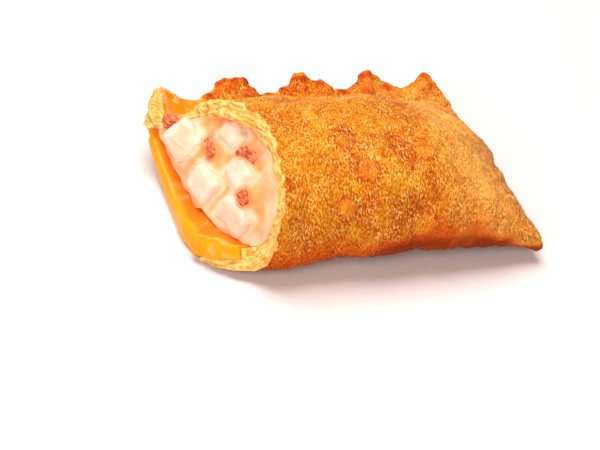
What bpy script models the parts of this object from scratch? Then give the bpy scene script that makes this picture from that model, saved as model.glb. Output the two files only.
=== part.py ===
"""One half of a deep-fried bacon and potato pie, torn across so that its filling shows.

The pastry is one sheet folded over the filling. The fold runs along the front, the crimped
seam with its teeth along the back, and the far end is pressed flat. The tear slants: the lower
sheet reaches out past the upper one and carries cheese sauce. Units are metres, +Z is up, X runs
from the tear to the pressed end, and Y from the fold to the seam.
"""

import math

import bmesh
import bpy
import numpy as np
from mathutils import Euler, Matrix, Vector

# The pie's body
HALF_LENGTH = 0.0680  # from the middle of the tear to the pressed end
BODY_WIDTH = 0.0458  # from the fold to the root of the seam
HEIGHT = 0.0245
SEAM_HEIGHT = 0.0100
PRESSED_END_HEIGHT = 0.0034  # of the plane between the sheets, at the fold
PRESSED_END_SLOPE = 0.0050  # how much more that is at the seam
END_SLANT = 0.040
END_BOW = 0.060
SHEET_PAIR = 0.0030  # two sheets of pastry pressed together
TAPER_START = 0.0290  # from here the top comes down towards the pressed end
TAPER_FULLNESS = 0.8  # 0.5 would be a quarter of an ellipse, 1 a parabola
BASE_TAPER_START = 0.0400
BASE_TAPER_FULLNESS = 0.9
STRAIGHT_FROM = 0.0125  # the first section that lies straight across
CRUST = 0.0023
RIM_DEPTH = 0.0080  # how far in from the tear the rim's own thickness reaches
BASE_AT_SEAM = 0.85  # powers of the bulge: under 1 is fuller than a circle, over 1 is hollow
FULL_FOLD = 0.43  # how much less that is at the fold, where the tear is
ROUND_FOLD = 0.20  # and from the length below on
FULL_FOLD_LENGTH = 0.0250
OPEN_SEAM = 1.6  # the power for the top beside the seam, at the tear
CLOSED_SEAM = 1.9
BASE_SINK = 0.0004  # the base is flat where the form would reach this far under the floor

# The crimped seam: where its edge lies along it, and how far the teeth stand out there
FLANGE = 0.0064
FLANGE_CURL = 0.0030
FLANGE_TIP_SHARE = 0.75
TEETH_ALONG = (
    -0.0068, -0.0046, -0.0022, 0.0006, 0.0030, 0.0075, 0.0100, 0.0120, 0.0145, 0.0172, 0.0200, 0.0250, 0.0282,
    0.0300, 0.0315, 0.0340, 0.0368, 0.0385, 0.0425, 0.0452, 0.0470, 0.0490, 0.0520, 0.0560,
    0.0585, 0.0607, 0.0625, 0.0642, 0.0665,
)
TEETH_REACH = (
    -0.0022, 0.0006, 0.0024, 0.0014, 0.0004, 0.0002, 0.0014, 0.0025, 0.0027, 0.0024, 0.0006, 0.0001, 0.0015,
    0.0030, 0.0031, 0.0022, 0.0016, 0.0003, 0.0002, 0.0018, 0.0031, 0.0028, 0.0016, 0.0001,
    0.0006, 0.0026, 0.0035, 0.0022, 0.0002,
)

# The tear: how far along X it lies at each angle round the body, from the seam over the top to
# the fold at 180 degrees and back under the base
TEAR_ANGLES = (0, 20, 45, 73, 90, 105, 122, 140, 160, 180, 192, 203, 212, 222, 235, 250, 270, 300, 330, 360)
TEAR_REACH = (
    -0.0054, 0.0012, 0.0046, 0.0068, 0.0088, 0.0094, 0.0088, 0.0083, 0.0072, 0.0060,
    0.0048, 0.0026, -0.0004, -0.0032, -0.0050, -0.0064, -0.0062, -0.0060, -0.0064, -0.0070,
)
RIM_THICKNESS = (
    0.0023, 0.0030, 0.0036, 0.0034, 0.0028, 0.0024, 0.0022, 0.0022, 0.0026, 0.0033,
    0.0038, 0.0038, 0.0032, 0.0023, 0.0016, 0.0012, 0.0011, 0.0011, 0.0014, 0.0023,
)
RAGGED_EDGE = 0.00035
RAGGED_WAVES = (0.29, 0.53)  # radians of each wave to a degree round the body
SEAM_TIP_REACH = -0.0052
UPPER_SHEET_ROOT = 0.0020  # on the seam the upper sheet is torn off as far as this
UPPER_SHEET_TIP = 0.0062
UPPER_SHEET_STEP = 0.0012
FACE_REACH = (
    -0.0054, -0.0024, 0.0036, 0.0092, 0.0099, 0.0098, 0.0091, 0.0085, 0.0072, 0.0056,
    0.0044, 0.0033, 0.0022, 0.0006, -0.0012, -0.0022, -0.0035, -0.0047, -0.0054, -0.0054,
)
FACE_BULGE = 0.0012
FACE_WAVES = 6
FACE_LENGTHS = (0.009, 0.005)
FACE_HEIGHT = 0.0006

# What is inside
GAP = 0.0003
CAVITY_ROUND_START = 0.0450
CAVITY_ROUND = 0.0070
SEAM_SLIT = 0.06  # the hollow's narrow side starts this many radians off the seam
CHEESE = 0.0019
CHEESE_THICK = 0.0011  # more than that again where it has pooled
CHEESE_EDGE = 0.0005
CHEESE_FROM = 222  # degrees round the body
CHEESE_TO = 352
CHEESE_POOL = 248
CHEESE_POOL_SPREAD = 26
CHEESE_RUN_OUT = (14, 30)  # degrees over which it thins at its first and last edge
CHEESE_CLEAR = (1.5, 4)  # the filling steps in over these degrees beside the cheese's edges
CHEESE_OVERHANG = 0.0004

# How finely the round forms are divided
OUTLINE_SAMPLES = 721
FLANGE_STEPS = 4
TOP_STEPS = 30
BASE_STEPS = 20
LENGTH_STEPS = 56
TEAR_STEPS = 12  # of these, the ones between the tear and the first straight section
CAVITY_STEPS = 15
ROW_CROWDING = 1.5  # rows lie closer towards the tear
ROUNDED_END_TURNS = (22, 42, 60, 74, 82)
CHEESE_END_TURNS = ROUNDED_END_TURNS[:2]  # the cheese stops short of the hollow's end
FILLING_FROM = 4  # degrees round the body
FILLING_TOP_STEPS = 17
FILLING_FOLD_STEPS = 6
FILLING_LENGTH_STEPS = 12
FACE_RINGS = (0.84, 0.62, 0.36)
CHEESE_STEPS = 18

# Name, how far it reaches along X, Y and Z before it is turned, its middle, and its turn in degrees
POTATOES = (
    ("potato_1", (0.0064, 0.0084, 0.0070), (-0.0005, 0.0128, 0.0102), (8, 40, 16)),
    ("potato_2", (0.0062, 0.0088, 0.0062), (0.0083, 0.0046, 0.0161), (-6, 45, 10)),
    ("potato_3", (0.0060, 0.0074, 0.0054), (0.0060, -0.0052, 0.0133), (6, 42, 6)),
    ("potato_4", (0.0054, 0.0086, 0.0056), (0.0003, 0.0000, 0.0085), (-4, 20, 2)),
    ("potato_5", (0.0046, 0.0082, 0.0054), (0.0028, -0.0109, 0.0085), (4, 12, 16)),
)
BACON = (
    ("bacon_1", (0.0036, 0.0034, 0.0024), (-0.0044, 0.0186, 0.0122), (0, 6, 12)),
    ("bacon_2", (0.0026, 0.0056, 0.0022), (0.0022, 0.0062, 0.0129), (0, 40, 0)),
    ("bacon_3", (0.0026, 0.0062, 0.0022), (0.0067, -0.0030, 0.0179), (-13, 36, 14)),
    ("bacon_4", (0.0022, 0.0032, 0.0024), (0.0036, -0.0108, 0.0129), (20, 36, 14)),
)
POTATO_ROUNDING = 0.0022
BACON_ROUNDING = 0.0006
POTATO_SEGMENTS = 2
BACON_SEGMENTS = 1
CUT_SKEW = (0.10, -0.07)  # no dice is quite square: how far its cuts lean in plan
CUT_LEAN = (-0.08, 0.06)  # and in height
POCKET_GROWTH = GAP * 1.3  # a flat pocket's corners stand off by less than its sides

# The uneven surface
PASTRY_SEED = 3
FACE_SEED = 11
BLISTER_SEED = 7
CLEAR_STEPS = 4  # no blister starts closer than this to an edge
BLISTERS = 60
BLISTER_RADIUS = (0.0020, 0.0038)
BLISTER_HEIGHT = (0.0003, 0.0007)
UNEVEN_WAVES = 9
UNEVEN_LENGTHS = (0.022, 0.009)
UNEVEN_HEIGHT = 0.00055
CALM_START = 0.05  # of the length from the tear, over which the uneven swell begins

half_width = BODY_WIDTH / 2
half_sheets = SHEET_PAIR / 2


def clear_scene():
    for thing in list(bpy.data.objects):
        bpy.data.objects.remove(thing)


def ease(share):
    """0 to 1 with a soft start and a soft end."""
    share = np.clip(share, 0, 1)
    return share * share * (3 - 2 * share)


def curve_through(angles, values, angle):
    """The tear's lines: soft steps between the stated values."""
    angles, values = np.array(angles, float), np.array(values, float)
    place = np.clip(np.searchsorted(angles, angle, side="right") - 1, 0, len(angles) - 2)
    slopes = np.gradient(values, angles)
    span = angles[place + 1] - angles[place]
    t = (angle - angles[place]) / span
    rise = 2 * t**3 - 3 * t**2
    return (
        (rise + 1) * values[place]
        - rise * values[place + 1]
        + (t**3 - 2 * t**2 + t) * span * slopes[place]
        + (t**3 - t**2) * span * slopes[place + 1]
    )


def waves(seed, count, longest, shortest):
    """Random waves in space, which give pastry and filling their uneven swell."""
    draw = np.random.default_rng(seed)
    directions = draw.normal(size=(count, 3))
    directions /= np.linalg.norm(directions, axis=1)[:, None]
    lengths = draw.uniform(shortest, longest, count)
    phases = draw.uniform(0, 2 * math.pi, count)
    return directions * (2 * math.pi / lengths)[:, None], phases


def swell(points, wave_set):
    """From -1 to 1 over the points."""
    numbers, phases = wave_set
    return np.sin(points @ numbers.T + phases).sum(axis=-1) / math.sqrt(len(phases)) / 1.5


# The pie's form

def pressed_end(y):
    """Where the pressed end lies: nearly straight, its corner at the fold pinched out."""
    across = np.clip((y + half_width) / BODY_WIDTH, 0, 1.2)
    return HALF_LENGTH * (1 - END_SLANT * across + END_BOW * across * (1.2 - across))


def top_share(x, end):
    """How much of its full height the top has at x."""
    along = np.clip((x - TAPER_START) / (end - TAPER_START), 0, 1)
    return (1 - along**2) ** TAPER_FULLNESS


def base_share(x, end):
    along = np.clip((x - BASE_TAPER_START) / (end - BASE_TAPER_START), 0, 1)
    return (1 - along**2) ** BASE_TAPER_FULLNESS


def middle_height(x, y, end):
    """The height of the plane where the two sheets meet."""
    lift = base_share(x, end)
    pressed = PRESSED_END_HEIGHT + PRESSED_END_SLOPE * (y / BODY_WIDTH + 0.5)
    return pressed + (SEAM_HEIGHT - pressed) * lift


def bulge(x, angle, upper):
    """The share of the full height at an angle: a lens at the seam, a round nose at the fold."""
    turn = np.abs(np.sin(angle))
    to_fold = ease((1 - np.cos(angle)) / 2)
    fuller = FULL_FOLD - (FULL_FOLD - ROUND_FOLD) * ease(x / FULL_FOLD_LENGTH)
    at_seam = OPEN_SEAM + (CLOSED_SEAM - OPEN_SEAM) * ease(x / FULL_FOLD_LENGTH)
    over = at_seam - (at_seam - 1) * to_fold
    steepness = np.where(upper > 0, over, BASE_AT_SEAM - fuller * to_fold)
    return turn**steepness


def teeth(x):
    """How far the teeth stand out of the seam's edge at x."""
    return np.interp(x, TEETH_ALONG, TEETH_REACH)


def outer_form(x, angle, flange, upper, end):
    """Points of the pastry's outside. flange is 0 on the body and 1 at the seam's tip."""
    tooth = teeth(x)
    y = half_width * np.cos(angle) + flange * (FLANGE + tooth)
    curl = FLANGE_CURL * flange**2 * np.maximum(tooth, 0) / max(TEETH_REACH)
    sheets = half_sheets * (1 - (1 - FLANGE_TIP_SHARE) * flange)
    torn_off = UPPER_SHEET_ROOT + (UPPER_SHEET_TIP - UPPER_SHEET_ROOT) * flange
    sheets = np.where(upper > 0, sheets * ease((x - torn_off) / UPPER_SHEET_STEP), sheets)
    over = HEIGHT - SEAM_HEIGHT - half_sheets
    under = SEAM_HEIGHT - half_sheets + BASE_SINK
    share = np.where(upper > 0, top_share(x, end), base_share(x, end))
    rise = np.where(upper > 0, over, under) * share * bulge(x, angle, upper)
    z = middle_height(x, y, end) + curl + upper * (sheets + rise)
    return np.stack(np.broadcast_arrays(x, y, z), axis=-1)


def wall(x, angle):
    """The pastry's thickness, which changes towards the tear."""
    degrees = np.degrees(angle) % 360
    rim = curve_through(TEAR_ANGLES, RIM_THICKNESS, degrees)
    return rim + (CRUST - rim) * ease((x - tear(angle)) / RIM_DEPTH)


def cavity_form(x, angle, inset, end):
    """Points of the hollow inside the pastry, or of what fills it at an inset from there."""
    upper = np.where(np.sin(angle) >= 0, 1.0, -1.0)
    inset = inset + wall(x, angle)
    over = (HEIGHT - SEAM_HEIGHT) * top_share(x, end) - inset
    under = (SEAM_HEIGHT + BASE_SINK) * base_share(x, end) - inset
    into_end = np.clip((x - CAVITY_ROUND_START) / (CAVITY_ROUND + CRUST - inset), 0, 0.995)
    rounding = np.sqrt(1 - into_end**2)
    y = (half_width - inset) * np.cos(angle) * rounding
    rise = np.where(upper > 0, over, under) * bulge(x, angle, upper) * rounding
    z = middle_height(x, y, end) + upper * rise
    return np.stack(np.broadcast_arrays(x, y, z), axis=-1)


def hollow_rows(start, inset, steps, end_turns=ROUNDED_END_TURNS):
    """Where the rows of the hollow, or of what fills it, lie along X."""
    share = np.linspace(0, 1, steps + 1)[:, None] ** ROW_CROWDING
    straight = start + (CAVITY_ROUND_START - start) * share
    turns = np.radians(end_turns)[:, None]
    return np.concatenate([straight, CAVITY_ROUND_START + (CAVITY_ROUND - inset) * np.sin(turns)])


def tear(angle):
    """The tear's place along X at an angle in radians, with its ragged edge."""
    degrees = np.degrees(angle) % 360
    ragged = sum(np.sin(wave * degrees + wave) for wave in RAGGED_WAVES)
    return curve_through(TEAR_ANGLES, TEAR_REACH, degrees) + RAGGED_EDGE * ragged


def torn_face(angle):
    return curve_through(TEAR_ANGLES, FACE_REACH, np.degrees(angle) % 360)


# Meshes

def closed_object(name, points, faces, material):
    mesh = bpy.data.meshes.new(name)
    mesh.from_pydata([tuple(p) for p in points], [], faces)
    shell = bmesh.new()
    shell.from_mesh(mesh)
    bmesh.ops.remove_doubles(shell, verts=shell.verts, dist=1e-6)
    bmesh.ops.recalc_face_normals(shell, faces=shell.faces)
    shell.to_mesh(mesh)
    shell.free()
    mesh.shade_smooth()
    mesh.materials.append(material)
    thing = bpy.data.objects.new(name, mesh)
    bpy.context.scene.collection.objects.link(thing)
    return thing


def bands(first, second):
    """The faces between two closed loops of point numbers."""
    size = len(first)
    return [
        (first[i], first[(i + 1) % size], second[(i + 1) % size], second[i])
        for i in range(size)
    ]


def numbered(points, start):
    """Point numbers of a grid of loops."""
    rows, size = points.shape[:2]
    return [[start + row * size + i for i in range(size)] for row in range(rows)]


def finish(name, colour, roughness):
    material = bpy.data.materials.new(name)
    material.use_nodes = True
    shader = material.node_tree.nodes["Principled BSDF"]
    shader.inputs["Base Color"].default_value = (*colour, 1)
    shader.inputs["Roughness"].default_value = roughness
    shader.inputs["Metallic"].default_value = 0
    return material


# The pastry

def even_angles(first, last, steps):
    """Angles from first to last, in degrees, whose points lie evenly along the outside."""
    angle = np.radians(np.linspace(first, last, OUTLINE_SAMPLES))
    upper = 1.0 if last <= 180 else -1.0
    outline = outer_form(0.0, angle, 0.0, upper, HALF_LENGTH)
    run = np.linalg.norm(np.diff(outline, axis=0), axis=1).cumsum()
    run = np.concatenate([[0], run])
    return np.interp(np.linspace(0, run[-1], steps), run, angle)


def body_outline():
    """Angle, flange share and side of each point round the body, from the seam's tip."""
    steps = np.linspace(1, 0, FLANGE_STEPS, endpoint=False)
    over = even_angles(0, 180, TOP_STEPS)
    under = even_angles(180, 360, BASE_STEPS + 1)[1:]
    angle = np.concatenate([0 * steps, over, under, 2 * math.pi + 0 * steps])
    flange = np.concatenate([steps, 0 * over, 0 * under, steps[::-1]])
    upper = np.concatenate([1 + 0 * steps, 1 + 0 * over, -1 + 0 * under, -1 + 0 * steps])
    return angle, flange, upper


def outline_tear(angle, flange, upper):
    root = np.where(upper > 0, tear(angle), tear(angle * 0.9999))
    return root + (SEAM_TIP_REACH - root) * flange


def blisters(points, normals):
    """Round blisters of the frying, raised along the normals."""
    draw = np.random.default_rng(BLISTER_SEED)
    raised = np.zeros(points.shape[:2])
    clear_of_seam = FLANGE_STEPS + CLEAR_STEPS
    for _ in range(BLISTERS):
        row = draw.integers(CLEAR_STEPS, points.shape[0] - CLEAR_STEPS)
        column = draw.integers(clear_of_seam, points.shape[1] - clear_of_seam)
        radius = draw.uniform(*BLISTER_RADIUS)
        height = draw.uniform(*BLISTER_HEIGHT)
        away = np.linalg.norm(points - points[row, column], axis=-1) / radius
        raised = np.maximum(raised, height * (1 - np.clip(away, 0, 1) ** 2) ** 2)
    return points + normals * raised[..., None]


def grid_normals(points):
    along = np.gradient(points, axis=0)
    around = np.roll(points, -1, axis=1) - np.roll(points, 1, axis=1)
    normals = np.cross(around, along)
    normals /= np.linalg.norm(normals, axis=-1)[..., None] + 1e-12
    outward = points - points.mean(axis=1, keepdims=True)
    outward[..., 0] = 0
    return normals * np.sign((normals * outward).sum())


def pastry_outside():
    angle, flange, upper = body_outline()
    end = pressed_end(half_width * np.cos(angle) + flange * FLANGE)
    start = outline_tear(angle, flange, upper)
    share = np.linspace(0, 1, LENGTH_STEPS + 1)[:, None]
    first = TEAR_STEPS / LENGTH_STEPS
    x = start + (STRAIGHT_FROM - start) * np.clip(share / first, 0, 1)
    x = x + (end - STRAIGHT_FROM) * np.clip((share - first) / (1 - first), 0, 1)
    points = outer_form(x, angle, flange, upper, end)
    normals = grid_normals(points)
    lift = swell(points, waves(PASTRY_SEED, UNEVEN_WAVES, *UNEVEN_LENGTHS))
    calm = ease(share / CALM_START) * (1 - flange)
    points = points + normals * (UNEVEN_HEIGHT * lift * calm)[..., None]
    points = blisters(points, normals)
    points[..., 2] = np.maximum(points[..., 2], 0)
    return points


def pastry_inside(angle, start):
    """The hollow, from the tear's points on the body to its closed end."""
    inner = SEAM_SLIT + (2 * math.pi - 2 * SEAM_SLIT) * angle / (2 * math.pi)
    end = pressed_end(half_width * np.cos(inner))
    x = hollow_rows(start, 0 * inner, CAVITY_STEPS)
    return cavity_form(x, inner, 0, end)


def make_pastry(material):
    angle, flange, upper = body_outline()
    on_body = flange == 0
    outside = pastry_outside()
    inside = pastry_inside(angle[on_body], outside[0, on_body, 0])
    outer_rows = numbered(outside, 0)
    inner_rows = numbered(inside, outside.shape[0] * outside.shape[1])
    points = list(outside.reshape(-1, 3)) + list(inside.reshape(-1, 3))
    points.append(inside[-1].mean(axis=0))
    hub = len(points) - 1
    first = outer_rows[0]
    faces = bands(first[FLANGE_STEPS:-FLANGE_STEPS], inner_rows[0])
    for i in range(FLANGE_STEPS):
        faces.append((first[i], first[i + 1], first[-2 - i], first[-1 - i]))
    for rows in (outer_rows, inner_rows):
        for before, after in zip(rows[:-1], rows[1:]):
            faces += bands(before, after)
    deepest = inner_rows[-1]
    faces += [(deepest[i - 1], deepest[i], hub) for i in range(len(deepest))]
    faces += pressed_end_cap(outer_rows[-1])
    return closed_object("pastry_crust", points, faces, material)


def pressed_end_cap(loop):
    """The thin end face: each point of the upper sheet joined to the lower one's facing it."""
    upper = loop[: FLANGE_STEPS + TOP_STEPS]
    lower = loop[FLANGE_STEPS + TOP_STEPS :][::-1]
    faces = []
    i = j = 0
    while i < len(upper) - 1 or j < len(lower) - 1:
        more_upper = (i + 1) * (len(lower) - 1) <= (j + 1) * (len(upper) - 1)
        if j == len(lower) - 1 or (more_upper and i < len(upper) - 1):
            faces.append((upper[i], upper[i + 1], lower[j]))
            i += 1
        else:
            faces.append((upper[i], lower[j + 1], lower[j]))
            j += 1
    return faces


# The filling

def cheese_share(degrees):
    """How thick the cheese is at an angle, over its edges' thickness: 0 at its two edges."""
    first, last = CHEESE_RUN_OUT
    body = ease((degrees - CHEESE_FROM) / first) * ease((CHEESE_TO - degrees) / last)
    pool = np.exp(-(((degrees - CHEESE_POOL) / CHEESE_POOL_SPREAD) ** 2))
    return body * (CHEESE + CHEESE_THICK * pool)


def cheese_inset(angle):
    """How far the cheese pushes the filling in from the pastry."""
    degrees = np.degrees(angle) % 360
    near, far = CHEESE_CLEAR
    there = np.interp(
        degrees,
        (CHEESE_FROM - far, CHEESE_FROM - near, CHEESE_TO + near, CHEESE_TO + far),
        (0, 1, 1, 0),
    )
    return there * (CHEESE_EDGE + GAP) + cheese_share(degrees)


def cheese_angles():
    return even_angles(CHEESE_FROM, CHEESE_TO, CHEESE_STEPS)


def make_filling(material):
    near, far = CHEESE_CLEAR
    beside = [CHEESE_FROM - near, CHEESE_TO + near, CHEESE_TO + far]
    angle = np.concatenate(
        [
            even_angles(FILLING_FROM, 180, FILLING_TOP_STEPS),
            even_angles(180, CHEESE_FROM - far, FILLING_FOLD_STEPS)[1:],
            np.radians(beside[:1]),
            cheese_angles(),
            np.radians(beside[1:]),
        ]
    )
    end = pressed_end(half_width * np.cos(angle))
    inset = GAP + cheese_inset(angle)
    x = hollow_rows(torn_face(angle), inset, FILLING_LENGTH_STEPS)
    body = cavity_form(x, angle, inset, end)
    front = body[0]
    centre = front.mean(axis=0)
    uneven = waves(FACE_SEED, FACE_WAVES, *FACE_LENGTHS)
    rings = []
    for ring in FACE_RINGS:
        loop = centre + (front - centre) * ring
        loop[:, 0] -= FACE_BULGE * (1 - ring**2)
        loop[:, 0] += FACE_HEIGHT * swell(loop, uneven)
        rings.append(loop)
    grid = np.array(rings[::-1] + list(body))
    rows = numbered(grid, 0)
    points = list(grid.reshape(-1, 3))
    points += [centre - Vector((FACE_BULGE, 0, 0)), body[-1].mean(axis=0)]
    faces = []
    for first, second in zip(rows[:-1], rows[1:]):
        faces += bands(first, second)
    for hub, loop in ((len(points) - 2, rows[0]), (len(points) - 1, rows[-1])):
        faces += [(loop[i - 1], loop[i], hub) for i in range(len(loop))]
    return closed_object("cream_filling", points, faces, material)


def make_cheese(material):
    """A layer on the inside of the lower sheet, which runs out over its torn lip."""
    angle = cheese_angles()
    end = pressed_end(half_width * np.cos(angle))
    start = tear(angle) - CHEESE_OVERHANG
    thick = CHEESE_EDGE + cheese_share(np.degrees(angle))
    sides = []
    for inset in (GAP + 0 * angle, GAP + thick):
        x = hollow_rows(start, inset, FILLING_LENGTH_STEPS, CHEESE_END_TURNS)
        sides.append(cavity_form(x, angle, inset, end))
    outer, inner = sides
    loops = np.concatenate([outer, inner[:, ::-1]], axis=1)
    rows = numbered(loops, 0)
    faces = []
    for first, second in zip(rows[:-1], rows[1:]):
        faces += bands(first, second)
    size = CHEESE_STEPS
    for loop in (rows[0], rows[-1]):
        for i in range(size - 1):
            faces.append((loop[i], loop[i + 1], loop[2 * size - 2 - i], loop[2 * size - 1 - i]))
    return closed_object("cheese_sauce", loops.reshape(-1, 3), faces, material)


def rounded_chunk(name, size, middle, turn, rounding, segments, material, grow=0.0):
    """A diced piece: a box with its edges rounded, made uneven, at its place in the filling."""
    chunk = bmesh.new()
    bmesh.ops.create_cube(chunk, size=1)
    bmesh.ops.scale(chunk, vec=Vector(size) + Vector((grow,) * 3) * 2, verts=chunk.verts)
    bmesh.ops.bevel(
        chunk,
        geom=chunk.edges[:],
        offset=rounding,
        segments=segments,
        profile=0.5,
        affect="EDGES",
    )
    skew = Matrix.Shear("XY", 4, CUT_SKEW) @ Matrix.Shear("XZ", 4, CUT_LEAN)
    place = Matrix.Translation(middle) @ Euler([math.radians(t) for t in turn]).to_matrix().to_4x4()
    bmesh.ops.transform(chunk, matrix=place @ skew, verts=chunk.verts)
    mesh = bpy.data.meshes.new(name)
    chunk.to_mesh(mesh)
    chunk.free()
    mesh.shade_smooth()
    mesh.materials.append(material)
    thing = bpy.data.objects.new(name, mesh)
    bpy.context.scene.collection.objects.link(thing)
    return thing


def press_into(filling, piece):
    """Cuts the pocket that a diced piece sits in."""
    piece.hide_render = True
    piece.display_type = "WIRE"
    cut = filling.modifiers.new(piece.name, "BOOLEAN")
    cut.operation = "DIFFERENCE"
    cut.solver = "MANIFOLD"
    cut.object = piece


def stand_on_origin(things):
    """Puts the middle of the whole footprint at the origin, with the base on z = 0."""
    corners = np.array([v.co for thing in things for v in thing.data.vertices])
    low, high = corners.min(axis=0), corners.max(axis=0)
    shift = Matrix.Translation((-(low[0] + high[0]) / 2, -(low[1] + high[1]) / 2, -low[2]))
    for thing in bpy.data.objects:
        thing.data.transform(shift)
    print("moved by", shift.translation)


def main():
    clear_scene()
    fried = finish("fried_pastry", (0.80, 0.29, 0.05), 0.45)
    cream = finish("cream", (0.93, 0.70, 0.48), 0.4)
    sauce = finish("cheese_sauce", (0.95, 0.38, 0.02), 0.2)
    potato = finish("boiled_potato", (0.95, 0.80, 0.62), 0.4)
    bacon = finish("bacon", (0.72, 0.24, 0.16), 0.4)
    pastry = make_pastry(fried)
    filling = make_filling(cream)
    cheese = make_cheese(sauce)
    pieces = []
    for chunks, rounding, segments, material in (
        (POTATOES, POTATO_ROUNDING, POTATO_SEGMENTS, potato),
        (BACON, BACON_ROUNDING, BACON_SEGMENTS, bacon),
    ):
        for name, size, middle, turn in chunks:
            pieces.append(
                rounded_chunk(name, size, middle, turn, rounding, segments, material)
            )
            pocket = rounded_chunk(
                name + "_pocket", size, middle, turn, rounding, segments, material, POCKET_GROWTH
            )
            press_into(filling, pocket)
    stand_on_origin([pastry, filling, cheese, *pieces])


main()
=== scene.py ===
# %% [markdown]
# # Half of a fried bacon and potato pie
# A sheet of dough is folded over a filling, crimped along one long side, pressed flat at its
# ends and deep-fried. This one has been torn across, so that the pale layers of the pastry, the
# diced potato, the bacon, the cream and the cheese sauce all show.
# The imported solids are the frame: everything below stands where its solid stands, in metres,
# with +X from the tear to the pressed end, +Y from the fold to the seam and +Z up.

# %% Load the frame
import math

import bpy
import numpy as np
from mathutils import Euler, Matrix, Vector, noise
from mathutils.bvhtree import BVHTree


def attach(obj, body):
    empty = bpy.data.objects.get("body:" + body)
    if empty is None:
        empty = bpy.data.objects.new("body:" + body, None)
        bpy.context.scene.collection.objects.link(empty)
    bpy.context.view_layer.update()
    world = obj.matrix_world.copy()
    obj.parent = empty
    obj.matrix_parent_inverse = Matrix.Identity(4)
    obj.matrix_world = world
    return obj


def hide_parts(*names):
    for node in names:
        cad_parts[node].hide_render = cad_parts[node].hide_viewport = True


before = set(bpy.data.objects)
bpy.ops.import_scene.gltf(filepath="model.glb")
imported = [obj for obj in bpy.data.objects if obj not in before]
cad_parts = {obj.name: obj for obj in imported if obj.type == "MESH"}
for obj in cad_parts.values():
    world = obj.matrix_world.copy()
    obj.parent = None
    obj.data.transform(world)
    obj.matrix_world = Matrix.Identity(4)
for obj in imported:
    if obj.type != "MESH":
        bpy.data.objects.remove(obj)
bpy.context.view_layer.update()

scene = bpy.context.scene

# %% [markdown]
# ## Helpers for the finishes
# Colours are picked as a screen shows them, in sRGB hex, but a shader adds light up in linear
# numbers, so one function turns the first into the second. The scale of a pattern says how many
# of its lumps lie in a metre, so another works it out from their size in millimetres. A third
# adds a shader node, sets its values and links it, because every finish below is a small tree of
# nodes, and the last gives a shader its colour, its bump and its other numbers.

# %% Colours and sizes
def linear(code):
    """An sRGB hex colour as linear numbers."""
    parts = [int(code[i : i + 2], 16) / 255 for i in (1, 3, 5)]
    return (*[p / 12.92 if p <= 0.04045 else ((p + 0.055) / 1.055) ** 2.4 for p in parts], 1.0)


def scale_of(millimetres):
    """The scale of a pattern whose lumps are this wide, on coordinates in metres."""
    return 1000 / millimetres


print("orange of fried dough, linear:", [round(c, 3) for c in linear("#e08a35")])

# %% Nodes
# Sockets of a Mix node that mixes colours: the share, both colours and the result
SHARE, FIRST, SECOND, MIXED = 0, 6, 7, 2


def add(tree, kind, values=None, links=None):
    """Adds a node; values go to its sockets or settings, links are {socket: node or output}."""
    node = tree.nodes.new("ShaderNode" + kind)
    for name, value in (values or {}).items():
        if name == "stops":
            ramp = node.color_ramp.elements
            while len(ramp) < len(value):
                ramp.new(0.5)
            for stop, (place, colour) in zip(ramp, value):
                stop.position = place
                stop.color = linear(colour)
        elif isinstance(name, int) or name in node.inputs:
            node.inputs[name].default_value = value
        else:
            setattr(node, name, value)
    for name, source in (links or {}).items():
        tree.links.new(getattr(source, "outputs", [source])[0], node.inputs[name])
    return node


def new_material(name):
    """A material with its node tree and its shader."""
    material = bpy.data.materials.new(name)
    material.use_nodes = True
    return material, material.node_tree, material.node_tree.nodes["Principled BSDF"]


def set_finish(shader, colour, bump, values):
    """Links a colour and a bump to a shader and sets its other sockets."""
    links = shader.id_data.links
    links.new(colour, shader.inputs["Base Color"])
    links.new(bump.outputs[0], shader.inputs["Normal"])
    for name, value in values.items():
        shader.inputs[name].default_value = value


print("a colour mix has its share at socket", SHARE, "and its result at", MIXED)

# %% [markdown]
# ## The camera, the table and the light
# The camera stands in front of the fold and well above it, with a long lens and a slight roll.
# The table is a pale matt laminate. A large soft lamp above and behind gives the soft shadow at
# the front, a smaller one in front on the left lights the filling, and the warm surroundings
# fill the rest.

# %% Camera
bpy.ops.object.select_all(action="DESELECT")
CAMERA_PLACE = Vector((-0.1263, -0.2353, 0.1853))
CAMERA_RIGHT = Vector((0.9262, -0.3376, 0.1676))
CAMERA_LOOK = Vector((0.3687, 0.7189, -0.5893))
LENS, SENSOR_WIDTH = 88.56, 36  # mm
right = (CAMERA_RIGHT - CAMERA_LOOK * CAMERA_RIGHT.dot(CAMERA_LOOK)).normalized()
up = right.cross(CAMERA_LOOK)
turned = Matrix((right, up, -CAMERA_LOOK)).transposed().to_4x4()
bpy.ops.object.camera_add()
camera = bpy.context.object
camera.matrix_world = Matrix.Translation(CAMERA_PLACE) @ turned
camera.data.lens = LENS
camera.data.sensor_width = SENSOR_WIDTH
camera.data.clip_start = 0.01
scene.camera = camera
scene.view_settings.view_transform = "Standard"
print("camera at", tuple(round(c, 3) for c in CAMERA_PLACE))

# %% Table
TABLE_WIDTH = 3
bpy.ops.mesh.primitive_plane_add(size=TABLE_WIDTH)
floor = bpy.context.object
floor.name = "table_top"
white, tree, shader = new_material("white_laminate")
shader.inputs["Base Color"].default_value = linear("#d2d0d7")
shader.inputs["Roughness"].default_value = 0.6
floor.data.materials.append(white)
print("table", tuple(floor.dimensions))

# %% Light
world = bpy.data.worlds.new("studio")
scene.world = world
world.use_nodes = True
surroundings = world.node_tree.nodes["Background"]
surroundings.inputs["Color"].default_value = linear("#ffc89c")
surroundings.inputs["Strength"].default_value = 0.32


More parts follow.
